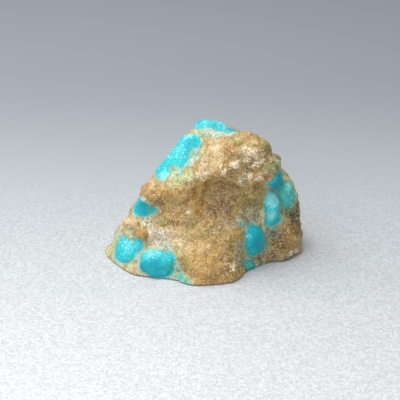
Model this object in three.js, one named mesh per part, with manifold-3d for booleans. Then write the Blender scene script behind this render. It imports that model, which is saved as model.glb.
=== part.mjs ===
// A rough turquoise specimen: one hand-broken chunk of sandy, quartz-rich host rock
// with nodules and seams of turquoise grown into it, standing on its flattest side.
// It is one solid stone. Millimetres, +Z up. The origin lies on the flat underside,
// +X runs along the stone's length and -Y is the front, where the stone's foot juts out.

import * as THREE from "three";
import { ImprovedNoise } from "three/addons/math/ImprovedNoise.js";
import Module from "manifold-3d";

// Driving dimensions.
const REACH = { min: [-16, -11, -1], max: [17, 13, 22] }; // a box well clear of the whole stone
const FACET = 0.63; // about how long the edges of the finest facets are
const NEARNESS = 0.005; // how near the corners of the facets lie to the surface
const FLATNESS = 0.045; // facets that stray from the surface by less than this become one
const FAR_OUT = 40; // a distance longer than the stone
const UNDERSIDE = 0; // height of the flat side that it stands on
const HOST_ROCK_COLOUR = 0xb08a55;

// The direction with a compass turn (0 is the front, 90 the right, 180 the back)
// and a tilt above the level.
const towards = (turn, tilt) => {
  const t = THREE.MathUtils.degToRad(turn);
  const e = THREE.MathUtils.degToRad(tilt);
  return new THREE.Vector3(Math.sin(t) * Math.cos(e), -Math.cos(t) * Math.cos(e), Math.sin(e));
};

// A broken face of the rock: a point on it and the way that it looks.
const face = (x, y, z, turn, tilt) => {
  const outward = towards(turn, tilt);
  return { outward, reach: outward.dot(new THREE.Vector3(x, y, z)) };
};

// Each block of the rock is the space behind all its faces. "edge" is how softly they meet,
// "blend" how softly the block grows into those before it.
const BLOCKS = {
  // the tall upper block, with the bright sloping face on its upper left
  head: {
    edge: 0.6,
    blend: 0,
    faces: [
      face(0.1, 4.6, 19.2, -37, 39), // broad upper-left face
      face(0.4, 4.6, 19.0, 80, 78), // cap
      face(3.5, 4.5, 18.0, 80, 56), // right end of the cap
      face(3.0, -0.6, 12.0, 12, -3), // front, under the brow
      face(-4.5, -0.9, 10.8, -16, -4), // front of the left shoulder
      face(-8.4, 2.0, 8.3, -90, 26), // left end
      face(9.0, 1.6, 12.5, 60, 14), // right cheek
      face(10.8, 2.8, 12.6, 92, 15), // right shoulder
      face(2.5, 5.2, 18.4, 170, 48), // back of the crest
      face(-0.3, 4.8, 19.2, -125, 26), // back left
      face(3.0, 7.4, 12.0, 172, 7), // back
      face(-5.0, 8.0, 3.0, -155, 14), // low on the back left
      face(9.5, 6.2, 12.0, 140, 8), // back right
      face(8.6, 4.4, 15.5, 140, 40), // high on the back right
      face(13.3, 4.0, 6.0, 92, 4), // right end
      face(1.0, 4.0, 3.0, 0, -90), // buried underneath
    ],
  },
  // the brow, a blunt boss that stands out from the top of the head
  brow: {
    edge: 0.9,
    blend: 0.8,
    faces: [
      face(1.0, 0.2, 15.5, -48, 26), // left cheek
      face(5.6, 0.8, 17.9, 16, 70), // top
      face(8.9, 1.0, 17.3, 78, 50), // upper right
      face(4.8, -2.0, 15.5, 8, 10), // front
      face(5.0, -1.2, 12.0, 5, -44), // underside
      face(10.0, 1.2, 15.2, 84, 20), // right
      face(6.0, 2.9, 17.0, 170, 30), // back
      face(0.5, 3.0, 14.0, -120, -10), // buried left
      face(8.0, 3.0, 12.0, 120, -10), // buried right
      face(5.0, 3.0, 10.0, 0, -90), // buried underneath
    ],
  },
  // the wide lower block
  footing: {
    edge: 0.7,
    blend: 1.3,
    faces: [
      face(-11.4, -1.25, 0.0, -54, 30), // lower-left flank
      face(-7.1, -4.9, 0.0, -14, 38), // front left of the apron
      face(1.0, -3.2, 3.9, 4, 48), // apron
      face(7.1, -2.5, 0.0, 42, 10), // right flank
      face(14.0, 2.6, 0.0, 98, 2), // right end
      face(9.0, 8.4, 0.0, 150, 14), // back right
      face(-1.0, 9.6, 0.0, 183, 16), // back
      face(-9.5, 6.6, 0.0, -140, 24), // back left
      face(-13.0, 1.6, 0.0, -96, 29), // left end
      face(-12.6, 0.6, 0.0, -74, 20), // left corner
      face(8.0, 3.0, 7.8, 20, 72), // top
    ],
  },
  // the foot that juts out to the front
  foot: {
    edge: 0.8,
    blend: 0.9,
    faces: [
      face(-2.3, -6.1, 0.0, -33, 24), // left side
      face(1.2, -7.1, 0.0, 3, 14), // toe
      face(1.4, -5.4, 3.0, 4, 42), // instep
      face(3.6, -6.4, 0.0, 28, 12), // right of the toe
      face(5.4, -4.6, 0.0, 69, 2), // right side
      face(4.6, -2.3, 5.9, 34, 55), // ankle
      face(2.0, 2.0, 3.0, 180, 0), // buried back
      face(-4.5, 0.0, 2.0, -90, 0), // buried left
    ],
  },
  // the brown lump at the lower right
  heel: {
    edge: 0.7,
    blend: 0.6,
    faces: [
      face(10.5, -0.2, 0.0, 24, 3), // front
      face(13.4, 1.3, 0.0, 52, 3), // right corner
      face(14.0, 2.6, 0.0, 98, 1), // right
      face(11.0, 0.6, 4.8, 10, 56), // top
      face(8.6, -0.4, 2.0, -55, 5), // left
      face(11.0, 6.0, 3.0, 160, 10), // back
    ],
  },
  // the lump behind the right cheek
  rear: {
    edge: 0.8,
    blend: 0.7,
    faces: [
      face(11.0, 2.0, 8.0, 30, 14), // front
      face(14.0, 3.4, 6.0, 98, 3), // right
      face(13.3, 3.6, 8.8, 90, 24), // upper right
      face(11.9, 3.6, 10.9, 80, 42), // top
      face(10.5, 7.0, 8.0, 160, 16), // back
      face(8.0, 4.0, 8.0, -90, 0), // buried left
      face(9.0, 4.0, 1.0, 0, -90), // buried underneath
    ],
  },
};

// A rounded swelling or dent: its middle, its three half-widths and how softly it blends in.
const round = (x, y, z, rx, ry, rz, blend) => ({
  middle: new THREE.Vector3(x, y, z),
  halfWidths: new THREE.Vector3(rx, ry, rz),
  blend,
});

const SWELLINGS = [
  round(-6.6, 1.0, 9.8, 1.6, 1.3, 1.0, 0.8), // left shoulder
  round(-3.0, 0.2, 11.3, 2.0, 1.0, 0.9, 0.8), // ledge between the shoulder and the brow
  round(6.6, 0.3, 16.4, 2.5, 2.0, 1.6, 0.8), // crown of the brow
  round(1.6, 0.0, 14.9, 1.5, 1.1, 1.9, 0.7), // cheek beside the brow
  round(6.2, -1.1, 12.9, 1.9, 1.1, 1.3, 0.7), // chin of the brow
  round(7.2, 0.2, 10.8, 1.8, 1.3, 2.3, 0.9), // jowl under the chin
  round(10.0, 2.6, 13.3, 1.0, 1.3, 1.4, 0.5), // green knob on the right shoulder
  round(4.7, -2.8, 5.0, 1.2, 1.2, 1.1, 0.7), // knuckle on the right of the foot
  round(1.4, -5.7, 1.6, 3.3, 1.3, 1.5, 0.9), // ball of the foot
  round(-9.0, 0.4, 5.2, 1.5, 1.3, 1.2, 0.9), // pale lump on the left flank
  round(-4.3, -1.2, 5.7, 1.9, 1.4, 1.0, 1.0), // pale lump on the apron
  round(-0.4, -2.4, 5.6, 1.8, 1.1, 0.9, 0.9), // another beside it
  round(11.4, 0.6, 2.0, 1.9, 1.2, 2.2, 0.9), // heel
  round(2.2, 7.6, 8.5, 3.4, 1.6, 2.6, 1.2), // swelling on the back
  round(-6.8, 5.6, 3.2, 2.4, 1.5, 1.8, 0.9), // swelling low on the back left
  round(8.6, 7.3, 3.0, 2.0, 1.5, 2.1, 0.9), // swelling low on the back right
];

const DENTS = [
  round(1.5, -2.2, 10.3, 3.2, 2.0, 2.4, 1.0), // hollow under the brow
  round(-7.9, -1.0, 7.7, 2.3, 1.5, 0.9, 0.7), // recess under the left shoulder
  round(-2.6, -2.1, 8.8, 2.2, 1.3, 1.0, 0.9), // the recess running on to the hollow
  round(8.0, -1.7, 7.0, 1.6, 1.6, 1.5, 0.8), // hollow above the egg
  round(9.7, -1.8, 5.4, 0.9, 1.4, 0.9, 0.6), // notch above the heel
  round(7.1, -4.9, 1.5, 0.9, 1.3, 2.6, 0.6), // gap between the foot and the heel
  round(14.7, 2.4, 4.3, 1.0, 1.6, 1.2, 0.5), // dark notch on the right end
  round(3.6, 2.9, 18.9, 2.2, 1.0, 0.8, 0.8), // saddle behind the brow
  round(-3.4, 7.6, 11.2, 2.6, 1.6, 2.4, 1.0), // hollow on the back
  round(4.2, 10.0, 3.4, 2.6, 1.6, 2.2, 1.0), // scoop low on the back
  round(12.3, 6.8, 8.2, 1.6, 1.6, 1.8, 0.8), // scoop behind the right end
];

// A bean-shaped nodule that stands proud of the rock around it: its middle, the way that
// it looks, its half-widths across and up the surface, its lean to the left and its height.
const nodule = (x, y, z, turn, tilt, across, up, lean, proud) => {
  const outward = towards(turn, tilt);
  const left = THREE.MathUtils.degToRad(lean);
  return {
    middle: new THREE.Vector3(x, y, z),
    outward,
    side: towards(turn + 90, 0).applyAxisAngle(outward, left).divideScalar(across),
    rise: towards(turn, tilt + 90).applyAxisAngle(outward, left).divideScalar(up),
    proud,
  };
};

const NODULES = [
  nodule(-6.7, -4.0, 1.8, -24, 38, 2.5, 2.0, -6, 1.0), // the big one beside the foot
  nodule(-10.2, -0.6, 2.0, -50, 28, 2.1, 1.7, 0, 0.45), // lower left
  nodule(-7.5, 0.3, 7.7, -22, 8, 1.8, 1.3, -15, 0.2), // under the left shoulder
  nodule(-3.2, 2.3, 14.7, -38, 38, 1.5, 3.3, -14, 0.2), // long patch down the left slope
  nodule(2.4, 3.9, 18.3, 28, 62, 2.8, 1.2, 0, 0.2), // cap
  nodule(7.4, -2.1, 4.0, 34, 18, 1.8, 2.1, 4, 1.25), // egg above the heel
  nodule(10.0, 0.3, 7.6, 20, 12, 1.1, 2.5, -4, 0.8), // long one on the right
  nodule(10.5, 2.4, 11.0, 35, 22, 0.9, 1.4, 0, 0.7), // small one above it
  nodule(12.0, 2.6, 8.7, 34, 20, 1.25, 1.6, 0, 0.45), // teal one beside it
  nodule(6.8, -2.6, 1.1, 40, 10, 0.7, 0.8, 0, 0.5), // bead at the base
  nodule(-8.0, -1.6, 4.7, -20, 38, 0.85, 0.85, 0, 0.7), // brown knob of host rock on the left
  nodule(4.7, -2.1, 14.9, 0, 14, 0.7, 0.7, 0, 0.45), // quartz grain in the brow
  nodule(5.6, -1.8, 12.9, 0, 0, 0.7, 0.65, 0, 0.4), // quartz grain under it
  nodule(7.2, -1.4, 16.4, 10, 30, 1.0, 0.8, 0, 0.4), // quartz crust on the brow
  nodule(5.7, -1.5, 16.8, 0, 36, 0.9, 0.7, 0, 0.35), // more of the crust
  nodule(0.6, 9.2, 6.4, 180, 16, 2.4, 1.9, 20, 0.5), // back
  nodule(-5.4, 7.2, 8.2, -150, 20, 1.5, 2.2, -10, 0.4), // back left
  nodule(6.6, 8.4, 10.8, 155, 20, 1.9, 1.5, 0, 0.45), // back right
  nodule(-9.9, 6.0, 2.2, -140, 24, 1.6, 1.3, 0, 0.4), // low on the back left
];
const NODULE_DEPTH = 2.5; // how far above or below its middle a nodule still shapes the rock

// The rock's uneven skin: waves of the given length and height.
const ROUGHNESS = [
  { length: 3.4, height: 0.3 },
  { length: 1.7, height: 0.18 },
  { length: 0.9, height: 0.07 },
];
const wave = new ImprovedNoise();

const smoothMax = (a, b, k) => {
  if (k <= 0) return Math.max(a, b);
  const h = Math.max(k - Math.abs(a - b), 0) / k;
  return Math.max(a, b) + (h * h * k) / 4;
};
const smoothMin = (a, b, k) => -smoothMax(-a, -b, k);

const blockDepth = (block, p) =>
  block.faces
    .map(({ outward, reach }) => outward.dot(p) - reach)
    .reduce((a, b) => smoothMax(a, b, block.edge));

const ellipsoidDepth = ({ middle, halfWidths }, p) => {
  const { x, y, z } = halfWidths;
  const spread = Math.hypot((p.x - middle.x) / x, (p.y - middle.y) / y, (p.z - middle.z) / z);
  return (spread - 1) * Math.min(x, y, z);
};

const dome = ({ middle, outward, side, rise, proud }, p) => {
  const from = p.clone().sub(middle);
  const spread = Math.hypot(from.dot(side), from.dot(rise));
  if (spread >= 1 || Math.abs(from.dot(outward)) > NODULE_DEPTH) return 0;
  return proud * (1 - spread * spread);
};

// Less than 0 inside the rock and more than 0 outside it, in about millimetres.
function rock(p) {
  let depth = FAR_OUT;
  for (const block of Object.values(BLOCKS))
    depth = smoothMin(depth, blockDepth(block, p), block.blend);
  for (const swelling of SWELLINGS)
    depth = smoothMin(depth, ellipsoidDepth(swelling, p), swelling.blend);
  for (const dent of DENTS)
    depth = smoothMax(depth, -ellipsoidDepth(dent, p), dent.blend);
  for (const { length, height } of ROUGHNESS)
    depth += height * wave.noise(p.x / length, p.y / length, p.z / length);
  for (const lens of NODULES) depth -= dome(lens, p);
  return depth;
}

const wasm = await Module();
wasm.setup();

const wholeStone = () =>
  wasm.Manifold.levelSet(([x, y, z]) => -rock(new THREE.Vector3(x, y, z)), REACH, FACET, 0, NEARNESS);

// A block of ground under the stone, which cuts its underside flat.
const ground = () =>
  wasm.Manifold.cube([2 * FAR_OUT, 2 * FAR_OUT, FAR_OUT], true).translate([0, 0, UNDERSIDE - FAR_OUT / 2]);

const toGeometry = (solid) => {
  const mesh = solid.getMesh();
  const geometry = new THREE.BufferGeometry();
  geometry.setAttribute("position", new THREE.BufferAttribute(mesh.vertProperties, 3));
  geometry.setIndex(new THREE.BufferAttribute(mesh.triVerts, 1));
  geometry.computeVertexNormals();
  return geometry;
};

const stone = new THREE.Mesh(
  toGeometry(wholeStone().subtract(ground()).simplify(FLATNESS)),
  new THREE.MeshStandardMaterial({ color: HOST_ROCK_COLOUR, roughness: 0.6, metalness: 0 }),
);
stone.name = "turquoise_stone";

const specimen = new THREE.Group();
specimen.name = "turquoise_specimen";
specimen.add(stone);

export default specimen;
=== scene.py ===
"""A rough turquoise specimen on a pale studio floor.

The stone is one piece: its rock is remeshed finely from the model's solid, given its
nodules' rims, its sugary grain and its quartz crust, and painted in named patches.
"""

import bmesh
import bpy
import numpy as np
from mathutils import Matrix, Vector, noise
from mathutils.kdtree import KDTree


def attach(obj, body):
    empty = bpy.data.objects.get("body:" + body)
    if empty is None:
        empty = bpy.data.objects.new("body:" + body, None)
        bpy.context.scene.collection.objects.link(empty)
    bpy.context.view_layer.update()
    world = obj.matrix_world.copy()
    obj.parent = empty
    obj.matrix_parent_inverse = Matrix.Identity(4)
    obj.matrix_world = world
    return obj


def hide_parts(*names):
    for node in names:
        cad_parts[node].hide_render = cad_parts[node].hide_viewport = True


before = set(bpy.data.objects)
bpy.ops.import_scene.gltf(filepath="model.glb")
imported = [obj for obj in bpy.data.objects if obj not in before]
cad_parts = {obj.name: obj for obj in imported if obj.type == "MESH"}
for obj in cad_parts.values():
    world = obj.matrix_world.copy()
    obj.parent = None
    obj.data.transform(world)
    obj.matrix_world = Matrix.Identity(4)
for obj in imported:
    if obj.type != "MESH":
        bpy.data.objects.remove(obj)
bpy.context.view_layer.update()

bl_info = {
    "name": "Rough Turquoise Specimen",
    "version": (1, 0, 0),
    "blender": (4, 5, 0),
    "location": "3D View > Sidebar > Specimen",
    "description": "Builds a small chunk of host rock with nodules of turquoise",
    "category": "Object",
}

MM = 0.001
SOLID = "turquoise_stone"
BODY = "root"
# The seed of the wandering outlines and the crystal faces: each run makes the same stone.
NOISE_SEED = 3


# Directions, and patches on the rock


def towards(turn, tilt):
    """The direction with a compass turn (0 front, 90 right) and a tilt above the level."""
    t = np.radians(turn)
    e = np.radians(tilt)
    return np.array((np.sin(t) * np.cos(e), -np.cos(t) * np.cos(e), np.sin(e)))


class Patch:
    """An oval place on the rock, in millimetres: its middle, the way that it looks, its
    half-widths across and up the surface, its lean to the left, how deep it reaches and
    how strongly it is coloured."""

    def __init__(self, x, y, z, turn, tilt, across, up, lean=0, depth=2.5, strength=1.0):
        outward = towards(turn, tilt)
        lean_turn = Matrix.Rotation(np.radians(lean), 3, Vector(outward))
        self.middle = np.array((x, y, z), float)
        self.axes = np.array(
            (
                np.array(lean_turn @ Vector(towards(turn + 90, 0))) / across,
                np.array(lean_turn @ Vector(towards(turn, tilt + 90))) / up,
                outward / depth,
            )
        )
        self.small = min(across, up)
        self.strength = strength

    def spread(self, points, power=2.0):
        """How far each point lies from the middle, where 1 is the patch's edge; a power
        above 2 makes the patch squarer."""
        return np.linalg.norm((points - self.middle) @ self.axes.T, ord=power, axis=1)


def spot(x, y, z, radius, strength=1.0):
    """A round place on the rock, in millimetres, and how strongly it is coloured."""
    return Patch(x, y, z, 0, 0, radius, radius, 0, radius, strength)


# The turquoise that stands proud of the rock: its patch and the height of its rim.
RAISED = {
    "beside the foot": (Patch(-5.8, -4.4, 1.8, -12, 34, 2.35, 1.75, -4), 0.28),
    "lower left": (Patch(-10.2, -0.7, 1.9, -50, 28, 2.0, 1.6), 0.16),
    "egg above the heel": (Patch(7.4, -2.1, 4.0, 34, 18, 1.65, 2.0, 4), 0.32),
    "long one on the right": (Patch(10.0, 0.3, 7.6, 20, 12, 1.05, 2.4, -4), 0.26),
    "small one above it": (Patch(10.5, 2.4, 11.0, 35, 22, 0.9, 1.4), 0.2),
    "blue one under the knob": (Patch(10.0, -0.8, 12.2, 42, -16, 0.7, 1.1), 0.3),
    "teal one beside it": (Patch(12.0, 2.6, 8.7, 34, 20, 1.25, 1.6), 0.16),
    "bead at the base": (Patch(6.8, -2.9, 0.65, 30, 5, 0.75, 0.65), 0.14),
    "back": (Patch(0.6, 9.2, 6.4, 180, 16, 2.4, 1.9, 20), 0.2),
    "back left": (Patch(-5.4, 7.2, 8.2, -150, 20, 1.5, 2.2, -10), 0.18),
    "back right": (Patch(6.6, 8.4, 10.8, 155, 20, 1.9, 1.5), 0.18),
    "low on the back left": (Patch(-9.9, 6.0, 2.2, -140, 24, 1.6, 1.3), 0.16),
}

# How square the raised turquoise is: 2 is an oval, more is squarer.
SQUARENESS = 2.4

# The turquoise that lies level with the rock, as a crust or a seam.
LEVEL = (
    spot(2.4, 9.0, 7.6, 0.8),
    spot(-1.2, 9.2, 5.2, 0.7),
    spot(-4.6, 7.6, 10.2, 0.7),
    spot(-6.4, 6.6, 6.4, 0.6),
    spot(4.8, 8.8, 11.8, 0.7),
    spot(8.0, 7.4, 9.8, 0.6),
    spot(-8.6, 7.2, 2.4, 0.6),
    spot(-11.2, 4.6, 1.6, 0.5),
    spot(-2.5, -6.0, 0.3, 0.4),
    spot(-1.7, -6.6, 0.2, 0.3),
    spot(-7.1, -3.5, 2.7, 0.5),
    spot(-4.1, -4.0, 2.4, 0.75),
    spot(10.4, 0.7, 9.0, 0.7),
    spot(9.2, -0.4, 5.6, 0.5),
    spot(0.1, 4.2, 18.7, 1.0),
    spot(1.3, 3.9, 18.7, 1.1),
    spot(2.6, 3.7, 18.4, 1.1),
    spot(3.7, 3.5, 18.0, 1.0),
    spot(4.6, 3.9, 17.4, 0.9),
    spot(-1.2, 2.9, 16.5, 0.85),
    spot(-2.3, 1.4, 14.6, 0.7),
    spot(-2.7, 1.2, 14.0, 0.75),
    spot(-0.5, 2.3, 16.6, 0.8),
    spot(-2.4, 3.3, 16.1, 1.0),
    spot(-2.1, 2.2, 15.5, 0.9),
    spot(-3.0, 2.9, 15.2, 1.2),
    spot(-3.3, 4.2, 15.6, 1.2),
    spot(-3.6, 2.3, 14.4, 1.1),
    spot(-4.3, 3.4, 14.5, 1.2),
    spot(-3.2, 1.5, 14.0, 0.6),
    spot(-4.6, 2.3, 13.5, 1.0),
    spot(-5.1, 3.0, 13.3, 1.1),
    spot(-4.8, 1.4, 12.6, 0.8),
    spot(-5.4, 2.1, 12.7, 0.9),
    spot(-4.9, 1.1, 12.1, 0.4),
    spot(-8.6, -1.8, 3.2, 0.9),
    spot(-9.2, -2.0, 2.6, 0.8),
    spot(-8.5, 0.5, 7.9, 1.1),
    spot(-7.5, 0.2, 7.7, 0.9),
    spot(-6.4, 0.1, 7.5, 0.35),
    spot(5.3, -1.4, 6.1, 0.15),
    spot(-4.6, -5.6, 0.1, 0.5),
    spot(9.6, 0.6, 9.2, 0.8),
    spot(10.2, 0.8, 9.2, 0.8),
    spot(9.7, 0.0, 6.2, 0.8),
    spot(10.5, 0.6, 6.0, 0.8),
    spot(11.5, 2.4, 10.2, 0.7),
    spot(12.5, 2.9, 8.2, 0.8),
)

# Small lumps and hollows of the rock: where each lies and how far it stands out.
FORMS = (
    (Patch(6.3, -2.0, 17.0, -5, 30, 1.9, 0.6), 0.35),  # ledge of quartz on the brow
    (Patch(4.6, -2.2, 16.2, 0, 0, 1.0, 0.35), -0.2),  # gap under it
    (Patch(4.7, -2.4, 15.2, 20, 20, 0.6, 0.6), 0.35),  # bright grain in the brow
    (Patch(3.1, -2.3, 14.2, 0, 0, 0.5, 0.4), 0.2),
    (Patch(5.4, -2.5, 13.1, -20, 0, 0.5, 0.8), 0.3),
    (Patch(6.5, -2.4, 13.2, 0, 0, 0.5, 0.5), 0.2),
    (Patch(8.0, -2.0, 13.1, 20, 0, 0.6, 0.5), 0.25),
    (Patch(7.3, -2.2, 13.9, 10, 0, 0.7, 0.4), -0.2),
    (Patch(9.4, -1.0, 14.8, 45, 20, 0.8, 1.1), 0.3),  # sage knob
    (Patch(0.0, -0.6, 10.4, 5, 0, 0.7, 1.9, -10), 0.5),  # golden rib in the hollow
    (Patch(2.6, -0.2, 10.6, 5, 0, 1.6, 1.3), -0.45),  # the hollow's deepest part
    (Patch(4.8, -1.0, 10.8, 5, 0, 0.7, 1.6), 0.25),
    (Patch(-4.6, -1.9, 6.8, -20, 50, 0.9, 0.6), 0.3),  # olive bumps
    (Patch(-1.3, -2.4, 6.9, -5, 45, 0.9, 0.6), 0.3),
    (Patch(-3.1, -2.2, 6.8, 0, 40, 0.6, 0.6), -0.2),
    (Patch(-2.4, -1.3, 7.8, 0, 40, 1.5, 0.5), -0.15),
    (Patch(-8.0, -2.0, 4.9, -20, 20, 0.7, 0.6), 0.5),  # brown knob
    (Patch(-9.8, -0.6, 5.9, -33, 30, 1.0, 0.8), 0.2),
    (Patch(4.8, -3.2, 5.8, 20, 50, 1.1, 0.7), 0.3),  # knuckle
    (Patch(3.4, -2.8, 5.9, 10, 40, 0.6, 1.1), -0.15),
    (Patch(0.7, -4.6, 4.0, 5, 45, 1.3, 0.9), 0.2),
    (Patch(-1.9, -6.0, 2.3, -40, 30, 0.7, 1.2), -0.2),
    (Patch(2.6, -5.8, 2.9, 20, 40, 0.9, 0.6), -0.2),
    (Patch(3.9, -6.2, 1.3, 30, 15, 0.8, 1.2), 0.2),
    (Patch(1.1, -7.0, 1.4, 5, 15, 1.6, 0.9), 0.2),
    (Patch(10.5, -0.3, 3.9, 15, 15, 0.8, 1.0), -0.25),
    (Patch(11.4, -0.5, 2.6, 15, 10, 0.8, 1.8), 0.25),
    (Patch(13.3, 1.6, 4.6, 30, 20, 0.7, 1.3), -0.3),
    (Patch(-6.9, 0.8, 10.8, -20, 55, 1.1, 0.7), 0.2),
    (Patch(-3.2, -0.1, 12.6, -30, 40, 1.3, 0.7), 0.2),
    (Patch(-1.4, 0.8, 14.6, -45, 30, 0.9, 1.5), -0.2),
    (Patch(-8.5, -3.5, 1.7, -40, 30, 0.8, 1.4), -0.3),
    (Patch(-7.1, -2.0, 4.3, 0, 10, 0.7, 0.8), 0.25),
    (Patch(-9.6, -0.2, 4.0, -40, 0, 0.9, 0.8), 0.3),
    (Patch(-4.0, -4.6, 2.0, -15, 30, 1.1, 1.5), 0.3),
)

# Places inside the turquoise where it is worn away.
BARE = (
    spot(13.0, 3.0, 9.0, 0.4),
    spot(-0.6, 9.4, 7.4, 0.4),
    spot(-5.0, 7.6, 7.2, 0.4),
    spot(-7.8, 0.1, 9.4, 0.5),
    spot(8.9, 0.0, 8.6, 0.5),
    spot(12.4, 3.4, 10.2, 0.5),
    spot(-7.6, -3.0, 3.1, 0.4),
    spot(-3.2, -4.0, 3.2, 0.4),
    spot(-1.4, 1.6, 15.4, 0.3),
    spot(1.2, 8.8, 8.2, 0.5),
)

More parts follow.
